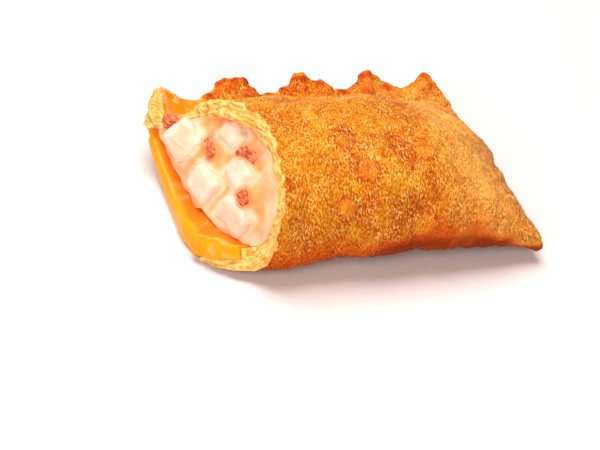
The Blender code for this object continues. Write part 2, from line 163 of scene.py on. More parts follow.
def soft_lamp(name, place, size, power, colour):
    """A square area lamp that points at the pie."""
    bpy.ops.object.light_add(type="AREA", location=place)
    lamp = bpy.context.object
    lamp.name = name
    lamp.rotation_euler = Vector(place).to_track_quat("Z", "Y").to_euler()
    lamp.data.size = size
    lamp.data.energy = power
    lamp.data.color = linear(colour)[:3]


soft_lamp("key_lamp", place=(-0.06, 0.27, 0.69), size=0.56, power=8.6, colour="#fffcf6")
soft_lamp("front_lamp", place=(-0.38, -0.42, 0.34), size=0.40, power=4.3, colour="#fff2e2")

# %% [markdown]
# ## The pie's form
# The dough is one sheet, so each point of it can be named by how far along the pie it lies, and
# at what angle round the body: 0 degrees at the seam, over the top to 180 at the fold, and back
# under the base to 360. These are the same functions and sizes that the solids were made with.
# Only the steps are finer here, so the skins made below lie on the solids.

# %% Sizes of the form, in metres
HALF_LENGTH, BODY_WIDTH, HEIGHT, SEAM_HEIGHT = 0.0680, 0.0458, 0.0245, 0.0100
PRESSED_END_HEIGHT, PRESSED_END_SLOPE, END_SLANT, END_BOW = 0.0034, 0.0050, 0.040, 0.060
SHEET_PAIR, TAPER_START, BASE_TAPER_START, BASE_SINK = 0.0030, 0.0290, 0.0400, 0.0004
CRUST, RIM_DEPTH = 0.0023, 0.0080
BASE_AT_SEAM, FULL_FOLD, ROUND_FOLD, FULL_FOLD_LENGTH = 0.85, 0.43, 0.20, 0.0250
OPEN_SEAM, CLOSED_SEAM = 1.6, 1.9
FLANGE, FLANGE_CURL, FLANGE_TIP_SHARE, FLANGE_NOSE, FOLD_NOSE = 0.0064, 0.0030, 0.75, 0.0004, 0.0005
CAVITY_ROUND_START, CAVITY_ROUND = 0.0450, 0.0070
SEAM_TIP_REACH, UPPER_SHEET_ROOT, UPPER_SHEET_TIP, UPPER_SHEET_STEP = -0.0052, 0.0020, 0.0062, 0.0012
SHIFT = Vector((-0.03042, -0.00433, 0))  # from the form's own middle to the frame's
TEETH_ALONG = (
    -0.0068, -0.0046, -0.0022, 0.0006, 0.0030, 0.0075, 0.0100, 0.0120, 0.0145, 0.0172, 0.0200, 0.0250, 0.0282,
    0.0300, 0.0315, 0.0340, 0.0368, 0.0385, 0.0425, 0.0452, 0.0470, 0.0490, 0.0520, 0.0560,
    0.0585, 0.0607, 0.0625, 0.0642, 0.0665,
)
TEETH_REACH = (
    -0.0022, 0.0006, 0.0024, 0.0014, 0.0004, 0.0002, 0.0014, 0.0025, 0.0027, 0.0024, 0.0006, 0.0001, 0.0015,
    0.0030, 0.0031, 0.0022, 0.0016, 0.0003, 0.0002, 0.0018, 0.0031, 0.0028, 0.0016, 0.0001,
    0.0006, 0.0020, 0.0026, 0.0018, 0.0002,
)
TEAR_ANGLES = (0, 20, 45, 73, 90, 105, 122, 140, 160, 180, 192, 203, 212, 222, 235, 250, 270, 300, 330, 360)
TEAR_REACH = (
    -0.0054, 0.0012, 0.0046, 0.0068, 0.0088, 0.0094, 0.0088, 0.0083, 0.0072, 0.0060,
    0.0048, 0.0026, -0.0004, -0.0032, -0.0050, -0.0064, -0.0062, -0.0060, -0.0064, -0.0070,
)
RAGGED_TEAR, LIP_DRAWN_BACK = 0.00035, 0.0010
RIM_THICKNESS = (
    0.0023, 0.0030, 0.0036, 0.0034, 0.0028, 0.0024, 0.0022, 0.0022, 0.0026, 0.0033,
    0.0038, 0.0038, 0.0032, 0.0023, 0.0016, 0.0012, 0.0011, 0.0011, 0.0014, 0.0023,
)
FACE_REACH = (
    -0.0054, -0.0024, 0.0036, 0.0092, 0.0099, 0.0098, 0.0091, 0.0085, 0.0072, 0.0056,
    0.0044, 0.0033, 0.0022, 0.0006, -0.0012, -0.0022, -0.0035, -0.0047, -0.0054, -0.0054,
)
half_width = BODY_WIDTH / 2
half_sheets = SHEET_PAIR / 2
print("body", HALF_LENGTH * 1000, "by", BODY_WIDTH * 1000, "by", HEIGHT * 1000, "mm")

# %% Curves
def ease(share):
    """0 to 1 with a soft start and a soft end."""
    share = np.clip(share, 0, 1)
    return share * share * (3 - 2 * share)


def curve_through(places, values, at):
    """A smooth curve through the stated values."""
    places, values = np.array(places, float), np.array(values, float)
    at = np.clip(at, places[0], places[-1])
    k = np.clip(np.searchsorted(places, at, side="right") - 1, 0, len(places) - 2)
    slopes = np.gradient(values, places)
    span = places[k + 1] - places[k]
    t = (at - places[k]) / span
    rise = 2 * t**3 - 3 * t**2
    ends = (rise + 1) * values[k] - rise * values[k + 1]
    return ends + (t**3 - 2 * t**2 + t) * span * slopes[k] + (t**3 - t**2) * span * slopes[k + 1]


def degrees_round(angle):
    """An angle in degrees, from 0 to 360."""
    return np.degrees(angle) % 360


print("a tenth of the way, eased:", round(float(ease(0.1)), 3))

# %% Tear and thickness
def tear(angle):
    """How far along the pie the tear lies at an angle."""
    degrees = degrees_round(angle)
    ragged = sum(np.sin(wave * degrees + wave) for wave in (0.29, 0.53))
    calmer = 1 - 0.6 * ease((degrees - 90) / 20) * ease((225 - degrees) / 15)
    return curve_through(TEAR_ANGLES, TEAR_REACH, degrees) + RAGGED_TEAR * ragged * calmer


def under_cheese(angle):
    """1 where the cheese bulges over the torn lip, 0 elsewhere."""
    degrees = degrees_round(angle)
    return ease((degrees - 230) / 16) * ease((357 - degrees) / 14)


def torn_lip(angle):
    """The tear, drawn back and evened out where the cheese lies over it."""
    even = curve_through(TEAR_ANGLES, TEAR_REACH, degrees_round(angle)) + LIP_DRAWN_BACK
    return tear(angle) + (even - tear(angle)) * under_cheese(angle)


def wall(x, angle):
    """How thick the pastry is."""
    rim = curve_through(TEAR_ANGLES, RIM_THICKNESS, degrees_round(angle))
    return rim + (CRUST - rim) * ease((x - tear(angle)) / RIM_DEPTH)


print("tear over the fold:", round(float(tear(np.radians(170.0))) * 1000, 2), "mm")

# %% Heights along the pie
def pressed_end(y):
    """How far along the pie it ends, slanted and bowed, with a low shoulder."""
    across = np.clip((y + half_width) / BODY_WIDTH, 0, 1.2)
    shoulder = 0.0013 * np.exp(-(((across - 0.62) / 0.08) ** 2)) + 0.0002 * np.sin(31 * across)
    return HALF_LENGTH * (1 - END_SLANT * across + END_BOW * across * (1.2 - across)) + shoulder


def top_share(x, end):
    """How much of its full height the top has, less towards the pressed end."""
    along = np.clip((x - TAPER_START) / (end - TAPER_START), 0, 1)
    return (1 - along**2) ** 0.8


def base_share(x, end):
    """The same for the base, which rises later."""
    along = np.clip((x - BASE_TAPER_START) / (end - BASE_TAPER_START), 0, 1)
    return (1 - along**2) ** 0.9


def middle_height(x, y, end):
    """How high the two sheets meet."""
    pressed = PRESSED_END_HEIGHT + PRESSED_END_SLOPE * (y / BODY_WIDTH + 0.5)
    return pressed + (SEAM_HEIGHT - pressed) * base_share(x, end)


def bulge(x, angle, top):
    """The share of the full height at an angle: a lens at the seam, a round nose at the fold."""
    to_fold = ease((1 - np.cos(angle)) / 2)
    fuller = FULL_FOLD - (FULL_FOLD - ROUND_FOLD) * ease(x / FULL_FOLD_LENGTH)
    at_seam = OPEN_SEAM + (CLOSED_SEAM - OPEN_SEAM) * ease(x / FULL_FOLD_LENGTH)
    over = at_seam - (at_seam - 1) * to_fold
    return np.abs(np.sin(angle)) ** np.where(top, over, BASE_AT_SEAM - fuller * to_fold)


print("pressed end at the fold:", round(float(pressed_end(-half_width)) * 1000, 2), "mm")

# %% Outside and hollow
def outer_form(x, angle, flange, side, end, close=1.0):
    """The pastry's outside. side is 1 on the upper sheet and -1 on the lower, close pinches them."""
    tooth = curve_through(TEETH_ALONG, TEETH_REACH, x)
    top = side > 0
    nose = np.sqrt(np.clip(1 - side**2, 0, 1))
    y = half_width * np.cos(angle) + flange * (FLANGE + tooth + FLANGE_NOSE * nose)
    y = y - (1 - flange) * FOLD_NOSE * nose
    curl = FLANGE_CURL * flange**2 * np.maximum(tooth, 0) / max(TEETH_REACH)
    sheets = half_sheets * (1 - (1 - FLANGE_TIP_SHARE) * flange)
    torn_off = UPPER_SHEET_ROOT + (UPPER_SHEET_TIP - UPPER_SHEET_ROOT) * flange
    sheets = np.where(top, sheets * ease((x - torn_off) / UPPER_SHEET_STEP), sheets)
    over = HEIGHT - SEAM_HEIGHT - half_sheets
    under = SEAM_HEIGHT - half_sheets + BASE_SINK
    share = np.where(top, top_share(x, end), base_share(x, end))
    rise = np.where(top, over, under) * share * bulge(x, angle, top)
    z = middle_height(x, y, end) + curl + side * (sheets + rise) * close
    return np.stack(np.broadcast_arrays(x, y, z), axis=-1)


def cavity_form(x, angle, inset, end):
    """The hollow inside the pastry, or what fills it at an inset from there."""
    top = np.sin(angle) >= 0
    inset = inset + wall(x, angle)
    over = (HEIGHT - SEAM_HEIGHT) * top_share(x, end) - inset
    under = (SEAM_HEIGHT + BASE_SINK) * base_share(x, end) - inset
    into_end = np.clip((x - CAVITY_ROUND_START) / (CAVITY_ROUND + CRUST - inset), 0, 0.995)
    rounding = np.sqrt(1 - into_end**2)
    y = (half_width - inset) * np.cos(angle) * rounding
    rise = np.where(top, over, -under) * bulge(x, angle, top) * rounding
    return np.stack(np.broadcast_arrays(x, y, middle_height(x, y, end) + rise), axis=-1)


def even_angles(first, last, steps):
    """Angles from first to last, in degrees, whose points lie evenly along the outside."""
    angle = np.radians(np.linspace(first, last, 1441))
    line = outer_form(0.02, angle, 0.0, np.where(last <= 180, 1.0, -1.0), HALF_LENGTH)
    run = np.concatenate([[0], np.linalg.norm(np.diff(line, axis=0), axis=1).cumsum()])
    return np.interp(np.linspace(0, run[-1], steps), run, angle)


print("round the top:", len(even_angles(0, 180, 190)), "points")

# %% [markdown]
# ## From a grid to a sheet
# A flat grid is the dough rolled out. Its points are then laid on the form row by row, in code,
# because no operator folds a sheet over a filling. Numbers that a finish needs, such as how torn
# or how blistered a point is, are kept on the points as named attributes.

# %% A sheet laid on a form
def alone(thing):
    """Leaves one object selected and active."""
    bpy.ops.object.select_all(action="DESELECT")
    thing.select_set(True)
    bpy.context.view_layer.objects.active = thing


def lay_sheet(name, points, marks=None):
    """A grid primitive with as many points as the array has, laid on it."""
    rows, columns = points.shape[:2]
    bpy.ops.object.select_all(action="DESELECT")
    bpy.ops.mesh.primitive_grid_add(x_subdivisions=columns - 1, y_subdivisions=rows - 1, size=0.1)
    sheet = bpy.context.object
    sheet.name = sheet.data.name = name
    sheet.data.vertices.foreach_set("co", (points + np.array(SHIFT)).astype(np.float32).ravel())
    for mark, values in (marks or {}).items():
        layer = sheet.data.attributes.new(mark, "FLOAT", "POINT")
        layer.data.foreach_set("value", np.broadcast_to(values, (rows, columns)).astype(np.float32).ravel())
    sheet.data.update()
    return sheet


print("sheets are moved by", tuple(round(c * 1000, 2) for c in SHIFT), "mm")

# %% Normals and noise
def grid_normals(points):
    """Outward normals of a sheet that runs round the pie."""
    normals = np.cross(np.gradient(points, axis=1), np.gradient(points, axis=0))
    normals /= np.linalg.norm(normals, axis=-1)[..., None] + 1e-12
    outward = points - points.mean(axis=1, keepdims=True)
    outward[..., 0] = 0
    return normals * np.sign((normals * outward).sum())


def cloud(points, size, seed):
    """Perlin noise over an array of points, from about -1 to 1, its lumps as large as size."""
    points = np.asarray(points, float)
    flat = points.reshape(-1, 3) / size + 7.3 * seed
    values = np.array([noise.noise(Vector(p)) for p in flat])
    return values.reshape(points.shape[:-1]) * 1.6


print("noise at two points:", cloud([(0.001, 0, 0), (0.002, 0, 0)], 0.0026, 1).round(2))

# %% Closed and dressed
MERGE = 0.00001


def close_mesh(thing):
    """Merges doubled points, fills what is open and turns all faces outwards."""
    alone(thing)
    bpy.ops.object.mode_set(mode="EDIT")
    bpy.ops.mesh.select_all(action="SELECT")
    bpy.ops.mesh.remove_doubles(threshold=MERGE)
    bpy.ops.mesh.normals_make_consistent(inside=False)
    bpy.ops.mesh.select_all(action="DESELECT")
    bpy.ops.mesh.select_non_manifold()
    bpy.ops.mesh.fill()
    bpy.ops.mesh.select_all(action="SELECT")
    bpy.ops.mesh.normals_make_consistent(inside=False)
    bpy.ops.object.mode_set(mode="OBJECT")
    bpy.ops.object.shade_smooth()


def dress(thing, material, slot, *nodes):
    """Gives a piece its finish and says which solids it stands for."""
    thing.data.materials.clear()
    thing.data.materials.append(material)
    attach(thing, "root")
    if nodes:
        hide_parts(*nodes)
    print(thing.name, len(thing.data.polygons), "faces")


print("points nearer than", MERGE * 1000, "mm are merged")

# %% [markdown]
# ## Fried pastry
# Dough that hits hot oil boils from inside: small bubbles set as a sandy grain all over, and
# larger ones lift as round blisters. Where it was torn, the unfried layers inside stay pale and
# flaky. The outside, the torn rim and the hollow have the same number of points round the pie,
# so one long sheet makes all three, and its edges are merged and filled to close the shell.

# %% Points round the pastry
FLANGE_STEPS, TOP_STEPS, FOLD_STEPS, BASE_STEPS, TIP_STEPS = 18, 186, 5, 100, 3
whole = 2 * math.pi
nose = np.sin(np.linspace(0, math.pi / 2, TIP_STEPS, endpoint=False))
steps = np.linspace(1, 0, FLANGE_STEPS, endpoint=False)
over = even_angles(0, 180, TOP_STEPS)
under = even_angles(180, 360, BASE_STEPS)
fold = np.linspace(1, -1, FOLD_STEPS + 2)[1:-1]
angle = np.concatenate([
    0 * nose, 0 * steps, over, math.pi + 0 * fold, under, whole + 0 * steps, whole + 0 * nose
])
flange = np.concatenate([1 + 0 * nose, steps, 0 * over, 0 * fold, 0 * under, steps[::-1], 1 + 0 * nose])
side = np.concatenate([
    nose, 1 + 0 * steps, 1 + 0 * over, fold, -1 + 0 * under, -1 + 0 * steps, -nose[::-1]
])
degrees = degrees_round(angle)
start = torn_lip(np.minimum(angle, whole - 1e-4))
start = start + (SEAM_TIP_REACH - start) * flange
ragged = 0.0009 * np.sin(math.pi * flange) + 0.0003 * np.sin(17 * flange + 2)
start = start - np.where(flange > 0, ragged, 0)
print(len(angle), "points round the pastry")

# %% Outside of the pastry
LENGTH_STEPS, END_ROUND = 262, 0.0007
end = pressed_end(half_width * np.cos(angle) + flange * FLANGE)
share = np.linspace(0, 1, LENGTH_STEPS + 1)[:, None]
x = start + (end - start) * share
outside = outer_form(x, angle, flange, side, end)
pinch = np.radians((25, 50, 72, 86))[:, None]
tips = outer_form(end + 0 * pinch, angle, flange, side, end, close=np.cos(pinch))
tips[..., 0] += END_ROUND * np.sin(pinch)
outside = np.concatenate([outside, tips])
share = np.concatenate([share, 1 + 0 * pinch])
print("outside grid", outside.shape[:2])


# %% Waves
def waves(seed, count, longest, shortest):
    """Drawn waves in any direction: their wave numbers and phases."""
    draw = np.random.default_rng(seed)
    directions = draw.normal(size=(count, 3))
    directions /= np.linalg.norm(directions, axis=1)[:, None]
    lengths = draw.uniform(shortest, longest, count)
    return directions * (2 * math.pi / lengths)[:, None], draw.uniform(0, 2 * math.pi, count)


def swell(points, wave_set):
    """The waves summed at some points, from about -1 to 1."""
    numbers, phases = wave_set
    return np.sin(points @ numbers.T + phases).sum(axis=-1) / math.sqrt(len(phases)) / 1.5


pie_waves = waves(seed=3, count=9, longest=0.022, shortest=0.009)
print(len(pie_waves[1]), "waves over the pie")

# %% Swell and blisters
# Place, radius, height and how far its middle has sunk, for the blisters that show most
LARGE_BLISTERS = (
    ((0.0216, -0.0210, 0.0162), 0.0025, 0.00075, 0.3),
    ((0.0275, -0.0151, 0.0211), 0.0028, 0.00080, 0.7),
    ((0.0417, -0.0107, 0.0222), 0.0030, 0.00070, 0.5),
    ((0.0553, -0.0007, 0.0188), 0.0027, 0.00065, 0.6),
    ((0.0563, -0.0171, 0.0145), 0.0030, 0.00070, 0.4),
    ((0.0388, -0.0227, 0.0118), 0.0032, 0.00070, 0.8),
    ((0.0538, -0.0227, 0.0106), 0.0027, 0.00065, 0.6),
)
# The least and the most of the same three for the small ones, which lie anywhere
SMALL_BLISTERS = 110
SMALL_RANGES = ((0.0009, 0.0026), (0.00015, 0.00045), (0, 0.8))
FULL_BLISTER, FULL_RING, SWELL_RISE = 0.0005, 0.0006, 0.00055
draw = np.random.default_rng(12)
normals = grid_normals(outside)
flat = outside.reshape(-1, 3)
blister, ring = np.zeros(len(flat)), np.zeros(len(flat))
blister_list = list(LARGE_BLISTERS)
for _ in range(SMALL_BLISTERS):
    row, column = draw.integers(16, outside.shape[0] - 12), draw.integers(24, outside.shape[1] - 24)
    blister_list.append((outside[row, column], *[draw.uniform(*ends) for ends in SMALL_RANGES]))
for place, radius, height, sunk in blister_list:
    away = np.linalg.norm(flat - np.array(place), axis=1) / radius
    dome = (1 - np.clip(away, 0, 1) ** 2) ** 1.5 - sunk * np.exp(-((away / 0.45) ** 2))
    blister = np.maximum(blister, height * dome)
    ring = np.maximum(ring, np.exp(-(((away - 0.95) / 0.16) ** 2)) * min(1, height / FULL_RING))
blister = blister.reshape(outside.shape[:2])
ring = ring.reshape(outside.shape[:2])
calm = ease(share / 0.05) * (1 - flange)
lift = SWELL_RISE * calm * swell(outside, pie_waves) + blister
outside = outside + normals * lift[..., None]
print(len(blister_list), "blisters, highest", round(blister.max() * 1000, 2), "mm")

# %% Sandy grain and crags
# Lumps of 2.6 mm, then of 1.1 mm, cut short at their tops as burst bubbles are. Crags of 1.8
# and 4.5 mm stand at the seam, where the upper sheet broke off. The slope behind the top has
# swells 6.5 mm wide, drawn out across the pie.
LUMP_RISE, GRAIN_RISE, BURST_AT, CRAG_RISE, SLOPE_RISE = 0.00024, 0.00016, 0.45, 0.00060, 0.00045
lumps = cloud(outside, 0.0026, 1)
grain = cloud(outside, 0.0011, 2)
crag = cloud(outside, 0.0018, 3)
at_seam = ease((0.25 - np.abs(np.sin(angle))) / 0.25) * (np.cos(angle) > 0)
near_seam = np.clip(flange + at_seam, 0, 1)
torn_off = UPPER_SHEET_ROOT + (UPPER_SHEET_TIP - UPPER_SHEET_ROOT) * flange
bare = (1 - ease((outside[..., 0] - torn_off - 0.0006) / 0.0012)) * (flange > 0) * (side > -0.9)
crumbs = ease((-0.0024 - outside[..., 0]) / 0.0012) * near_seam
near_seam = np.maximum(near_seam * (1 - 0.85 * bare), crumbs)
rough = LUMP_RISE * lumps + GRAIN_RISE * np.minimum(grain, BURST_AT)
rough = rough + (CRAG_RISE * crag + 0.00050 * cloud(outside, 0.0045, 4)) * near_seam
rough = rough + 0.00045 * np.abs(crag) * crumbs
back_slope = ease((np.cos(angle) - 0.30) / 0.25) * (np.sin(angle) > 0) * (1 - flange)
rough = rough + SLOPE_RISE * back_slope * cloud(outside * (1, 0.4, 0.4), 0.0065, 41)
rough *= np.where(share >= 1, 0.5, 1.0) * ease((share + 0.004) / 0.01)
outside = outside + normals * rough[..., None]
outside[..., 2] = np.maximum(outside[..., 2], 0.00005 * (1 + np.maximum(grain, -1)))
outside[:, -1] = outside[:, 0]
print("rough from", round(rough.min() * 1000, 2), "to", round(rough.max() * 1000, 2), "mm")

# %% Torn rim and hollow
RIM_STEPS, HOLLOW_STEPS = 17, 9
ROUNDED_IN = np.sin(np.radians((25, 45, 63, 78)))[:, None]  # the last rows, round the hollow's end
RIM_SLOPE_ANGLES = (0, 30, 60, 90, 120, 180, 200, 215, 230, 360)
RIM_SLOPE = (0, 0.0008, 0.0012, 0.0010, 0, 0, 0.0005, 0.0003, 0, 0)
SLIT = 0.06  # half the angle at the seam, where the hollow ends between the sheets
slit = SLIT + (whole - 2 * SLIT) * angle / whole
slit = np.where(flange > 0, (slit - math.pi) * (1 + SLIT * flange / (math.pi - SLIT)) + math.pi, slit)
hollow_end = pressed_end(half_width * np.cos(slit))
row_share = np.linspace(0, 1, HOLLOW_STEPS + 1)[:, None] ** 1.6
slope = np.interp(degrees, RIM_SLOPE_ANGLES, RIM_SLOPE)
hollow_start = np.where(flange > 0, start, outside[0, :, 0] - slope)
hollow_x = np.concatenate([
    hollow_start + (CAVITY_ROUND_START - hollow_start) * row_share,
    CAVITY_ROUND_START + CAVITY_ROUND * ROUNDED_IN + 0 * slit,
])
hollow = cavity_form(hollow_x, slit, 0, hollow_end)
across = np.linspace(0, 1, RIM_STEPS + 1)[1:-1, None]
rim = outside[0] + (hollow[0] - outside[0]) * across[..., None]
arc = degrees[None, :] * (BODY_WIDTH * math.pi / 360)
along = np.stack(np.broadcast_arrays(arc / 0.0040, across * 5, 0 * arc), axis=-1)
flake = cloud(along, 1.0, 5) + 0.6 * cloud(along * (4.0, 2.0, 1), 1.0, 6)
sheets_apart = np.cos(whole * (4 * across + 0.9 * cloud(along * (0.8, 0, 0), 1.0, 7)))
body_only = (1 - flange) * np.sin(math.pi * across) ** 0.5
bare_lip = ease((degrees - 214) / 14) * ease((358 - degrees) / 6)
rim[..., 0] += (-0.00022 * flake - 0.00016 * sheets_apart - 0.0003) * body_only * (1 - 0.85 * bare_lip)
rim[..., 0] += 0.0003 * bare_lip * body_only
print("rim", rim.shape[:2], "hollow", hollow.shape[:2])

# %% Where the oil browned it, with painted shade at the base and painted light at the end
# Crust browns from the base up, higher in drips along the fold; its darker base is partly painted shade.
# The pressed end is painted paler, a painted light on it.
DRIPS_ALONG = (0, 0.006, 0.012, 0.019, 0.026, 0.032, 0.038, 0.0425, 0.0475, 0.0525, 0.057, 0.061, 0.070)
DRIPS = (0, 0.0008, -0.0006, 0.0008, -0.0004, 0.0008, -0.0004, 0.0022, -0.0008, 0.0010, -0.0008, 0.0004, 0)
reach, up_high = outside[..., 0], outside[..., 2]
far = ease((reach - 0.028) / 0.014)
lower = 0.0035 * ease((reach - 0.050) / 0.012)
# Browning and painted shade: the crust is darker towards the base
top_of_brown_and_shade = 0.0130 + 0.0022 * far + curve_through(DRIPS_ALONG, DRIPS, reach) - lower
brown = ease((top_of_brown_and_shade - up_high) / (0.0088 - 0.0020 * far)) * (0.70 - 0.02 * far)
# Painted shade: darker still just above the base, further along the pie
brown += 0.32 * ease((0.0098 - 0.4 * lower - up_high) / 0.0032) * ease((reach - 0.020) / 0.018)
brown = brown * (1 - 0.95 * ease((reach - 0.0590) / 0.006) * ease((up_high - 0.0034) / 0.002))
brown = brown * (1 - flange) + flange * (0.52 + 0.6 * crag)
# Painted light: the pressed end is made paler, where it stands brighter in the light
end_painted_light = ease((reach - 0.040) / 0.014) * (1 - 0.45 * ease((reach - 0.056) / 0.008))
end_painted_light = end_painted_light * (1 - 0.6 * flange) * np.clip(1 - 1.2 * brown, 0, 1)
on_blister = 0.8 * np.clip(blister / FULL_BLISTER - 0.25, 0, 0.75)
smooth = np.maximum(on_blister, 0.65 * far * ease((brown - 0.30) / 0.55))
print("browned share", round(float(np.clip(brown, 0, 1).mean()), 2))

# %% One closed shell
bare_width = 0.0010 + 0.0007 * ease((degrees - 8) / 15) * ease((104 - degrees) / 25)
torn = np.clip(1.0 - (x - start) / bare_width, 0, 1) * np.where(flange > 0, 0.8, 1)
torn = np.maximum(np.concatenate([torn, np.zeros_like(tips[..., 0])]), bare)
inner = np.zeros((len(hollow) + len(rim), len(angle)))
on_outside = {
    "blister": np.clip(blister / FULL_BLISTER, 0, 1), "ring": ring, "smooth": smooth,
    "pressed": end_painted_light, "brown": np.clip(brown, 0, 1),
}
shell = lay_sheet("pastry", np.concatenate([hollow[::-1], rim[::-1], outside]), {
    **{mark: np.concatenate([inner, values]) for mark, values in on_outside.items()},
    "torn": np.concatenate([1 + inner, torn]),
    "layer": np.concatenate([1 + 0 * hollow[..., 0], across[::-1] + 0 * angle, flange * crag]),
    "around": arc[0],
})
close_mesh(shell)
print("shell", len(shell.data.vertices), "points")

# %% [markdown]
# Fried wheat dough is a matt, slightly oily crust. Golden on top in patches of 6.7 mm, it browns
# towards the base, where it lay in the oil longest, and the darker base is partly painted shade.
# Blisters have a redder ring round them, and the pressed end is painted paler, a painted light.

# %% Golden and browned crust
fried, tree, shader = new_material("deep_fried_dough")
GOLDEN = ((0.36, "#b25804"), (0.5, "#c57706"), (0.64, "#d0941c"))
# Browning towards the base, partly painted shade
BROWNED_AND_SHADED = ((0.0, "#dc8a14"), (0.55, "#cc5206"), (1.0, "#802002"))
DOUGH_MARKS = ("torn", "blister", "ring", "smooth", "brown", "pressed", "layer", "around")
place = add(tree, "TexCoord").outputs["Object"]
marks = {name: add(tree, "Attribute", {"attribute_name": name}).outputs["Fac"] for name in DOUGH_MARKS}
patches = add(
    tree, "TexNoise", {"Scale": scale_of(6.667), "Detail": 4.0, "Roughness": 0.6}, {"Vector": place}
)
golden = add(tree, "ValToRGB", {"stops": GOLDEN}, {"Fac": patches})
low = add(tree, "ValToRGB", {"stops": BROWNED_AND_SHADED}, {"Fac": marks["brown"]})
low_share = add(tree, "MapRange", {"From Max": 0.7, "To Max": 0.9}, {"Value": marks["brown"]})
crust = add(tree, "Mix", {"data_type": "RGBA"}, {SHARE: low_share, FIRST: golden, SECOND: low})
ringed_share = add(tree, "Math", {"operation": "MULTIPLY", 1: 0.75}, {0: marks["ring"]})
# Painted light: paler at the pressed end, in patches
end_light_share = add(
    tree, "MapRange", {"From Min": 0.36, "From Max": 0.64, "To Min": 0.45, "To Max": 0.85}, {"Value": patches}
)
end_light_share = add(tree, "Math", {"operation": "MULTIPLY"}, {0: marks["pressed"], 1: end_light_share})
for much, towards in ((ringed_share, "#b84e08"), (end_light_share, "#e6ac58")):
    mixed = {"data_type": "RGBA", SECOND: linear(towards)}
    crust = add(tree, "Mix", mixed, {SHARE: much, FIRST: crust.outputs[MIXED]})
print("crust", len(tree.nodes), "nodes")

# %% [markdown]
# The grain is the sand of bubbles that burst as they fried. Blisters and the brown side away
# from the tear are smoother. Its pits are painted darker and redder, a painted shade, and its
# tops are painted pale, partly pale grain and partly painted glints, more so in clusters of
# 2.4 mm. Real grains of 0.3 mm are too fine to show, so they are drawn 0.65 mm long across the
# pie and 0.3 mm wide along it, with sand of 0.57 mm in the bump.

# %% Grain of the crust
# Painted shade in the pits of the grain, darker and redder
PIT_SHADE = ((0.34, "#d2a66c"), (0.46, "#efdcb2"), (0.54, "#ffffff"))
NARROWER_ALONG = 2.2
stretched = add(tree, "Mapping", {"Scale": (NARROWER_ALONG, 1.0, 1.0)}, {"Vector": place})
grains = add(
    tree, "TexNoise", {"Scale": scale_of(0.6452), "Detail": 2.0, "Roughness": 0.65}, {"Vector": stretched}
)
sand = add(tree, "TexVoronoi", {"Scale": scale_of(0.5714)}, {"Vector": stretched})
pit_shade = add(tree, "ValToRGB", {"stops": PIT_SHADE}, {"Fac": grains})
grainy = add(tree, "Math", {"operation": "SUBTRACT", 0: 1.0}, {1: marks["smooth"]})
crust = add(
    tree, "Mix", {"data_type": "RGBA", "blend_type": "MULTIPLY"},
    {SHARE: grainy, FIRST: crust.outputs[MIXED], SECOND: pit_shade},
)
# Pale tops of the grain: partly pale grains, partly painted glints, in clusters
clusters = add(tree, "TexNoise", {"Scale": scale_of(2.381), "Detail": 1.0}, {"Vector": place})
sunny = add(
    tree, "MapRange", {"From Min": 0.36, "From Max": 0.66, "To Min": 0.2, "To Max": 0.9}, {"Value": clusters}
)
glint_speckle = add(tree, "MapRange", {"From Min": 0.52, "From Max": 0.66}, {"Value": grains})
tops_less = add(tree, "MapRange", {"From Max": 0.95, "To Min": 1.0, "To Max": 0.0}, {"Value": marks["brown"]})
for weaker in (sunny, tops_less, grainy):
    glint_speckle = add(tree, "Math", {"operation": "MULTIPLY"}, {0: glint_speckle, 1: weaker})
smooth_top = add(tree, "Math", {"operation": "MULTIPLY", 1: 0.15}, {0: marks["blister"]})
for much, towards in ((glint_speckle, "#fbd888"), (smooth_top, "#eaa63c")):
    mixed = {"data_type": "RGBA", SECOND: linear(towards)}
    crust = add(tree, "Mix", mixed, {SHARE: much, FIRST: crust.outputs[MIXED]})
print("with its grain", len(tree.nodes), "nodes")

# %% [markdown]
# Torn dough never met the oil, so it is pale yellow, in thin sheets that lie along the rim. The
# streaks that show them run 1.6 mm round the pie, with six to the rim's thickness. The edge
# between the torn and the fried dough follows the grain and its clusters.

# %% Torn layers
LAYERS = ((0.34, "#c87820"), (0.44, "#da9846"), (0.6, "#e8c47e"))
SHEETS_IN_RIM = 6.0
split = add(tree, "SeparateXYZ", {}, {0: place})
along_y = add(tree, "Math", {"operation": "MULTIPLY", 1: scale_of(8.333)}, {0: split.outputs["Y"]})
streak_place = add(tree, "CombineXYZ", {}, {
    "X": add(tree, "Math", {"operation": "MULTIPLY", 1: scale_of(1.613)}, {0: marks["around"]}),
    "Y": add(tree, "Math", {"operation": "MULTIPLY_ADD", 1: SHEETS_IN_RIM}, {0: marks["layer"], 2: along_y}),
    "Z": add(tree, "Math", {"operation": "MULTIPLY", 1: scale_of(2)}, {0: split.outputs["X"]}),
})
streaks = add(tree, "TexNoise", {"Scale": 1.0, "Detail": 3.0, "Roughness": 0.6}, {"Vector": streak_place})
pale = add(tree, "ValToRGB", {"stops": LAYERS}, {"Fac": streaks})
edge = add(tree, "Math", {"operation": "MULTIPLY_ADD", 1: 0.9}, {0: grains, 2: marks["torn"]})
edge = add(tree, "Math", {"operation": "ADD"}, {0: clusters, 1: edge})
torn_edge = add(tree, "MapRange", {"From Min": 1.42, "From Max": 1.60}, {"Value": edge})
colour = add(
    tree, "Mix", {"data_type": "RGBA"}, {SHARE: torn_edge, FIRST: crust.outputs[MIXED], SECOND: pale}
)
height = add(tree, "Math", {"operation": "MULTIPLY_ADD", 1: -0.5}, {0: sand, 2: grains})
height = add(tree, "Math", {"operation": "MULTIPLY"}, {0: height, 1: grainy})
height = add(tree, "Mix", {"data_type": "FLOAT"}, {0: torn_edge, 2: height, 3: streaks})
bump = add(tree, "Bump", {"Strength": 0.65, "Distance": 0.0006}, {"Height": height})
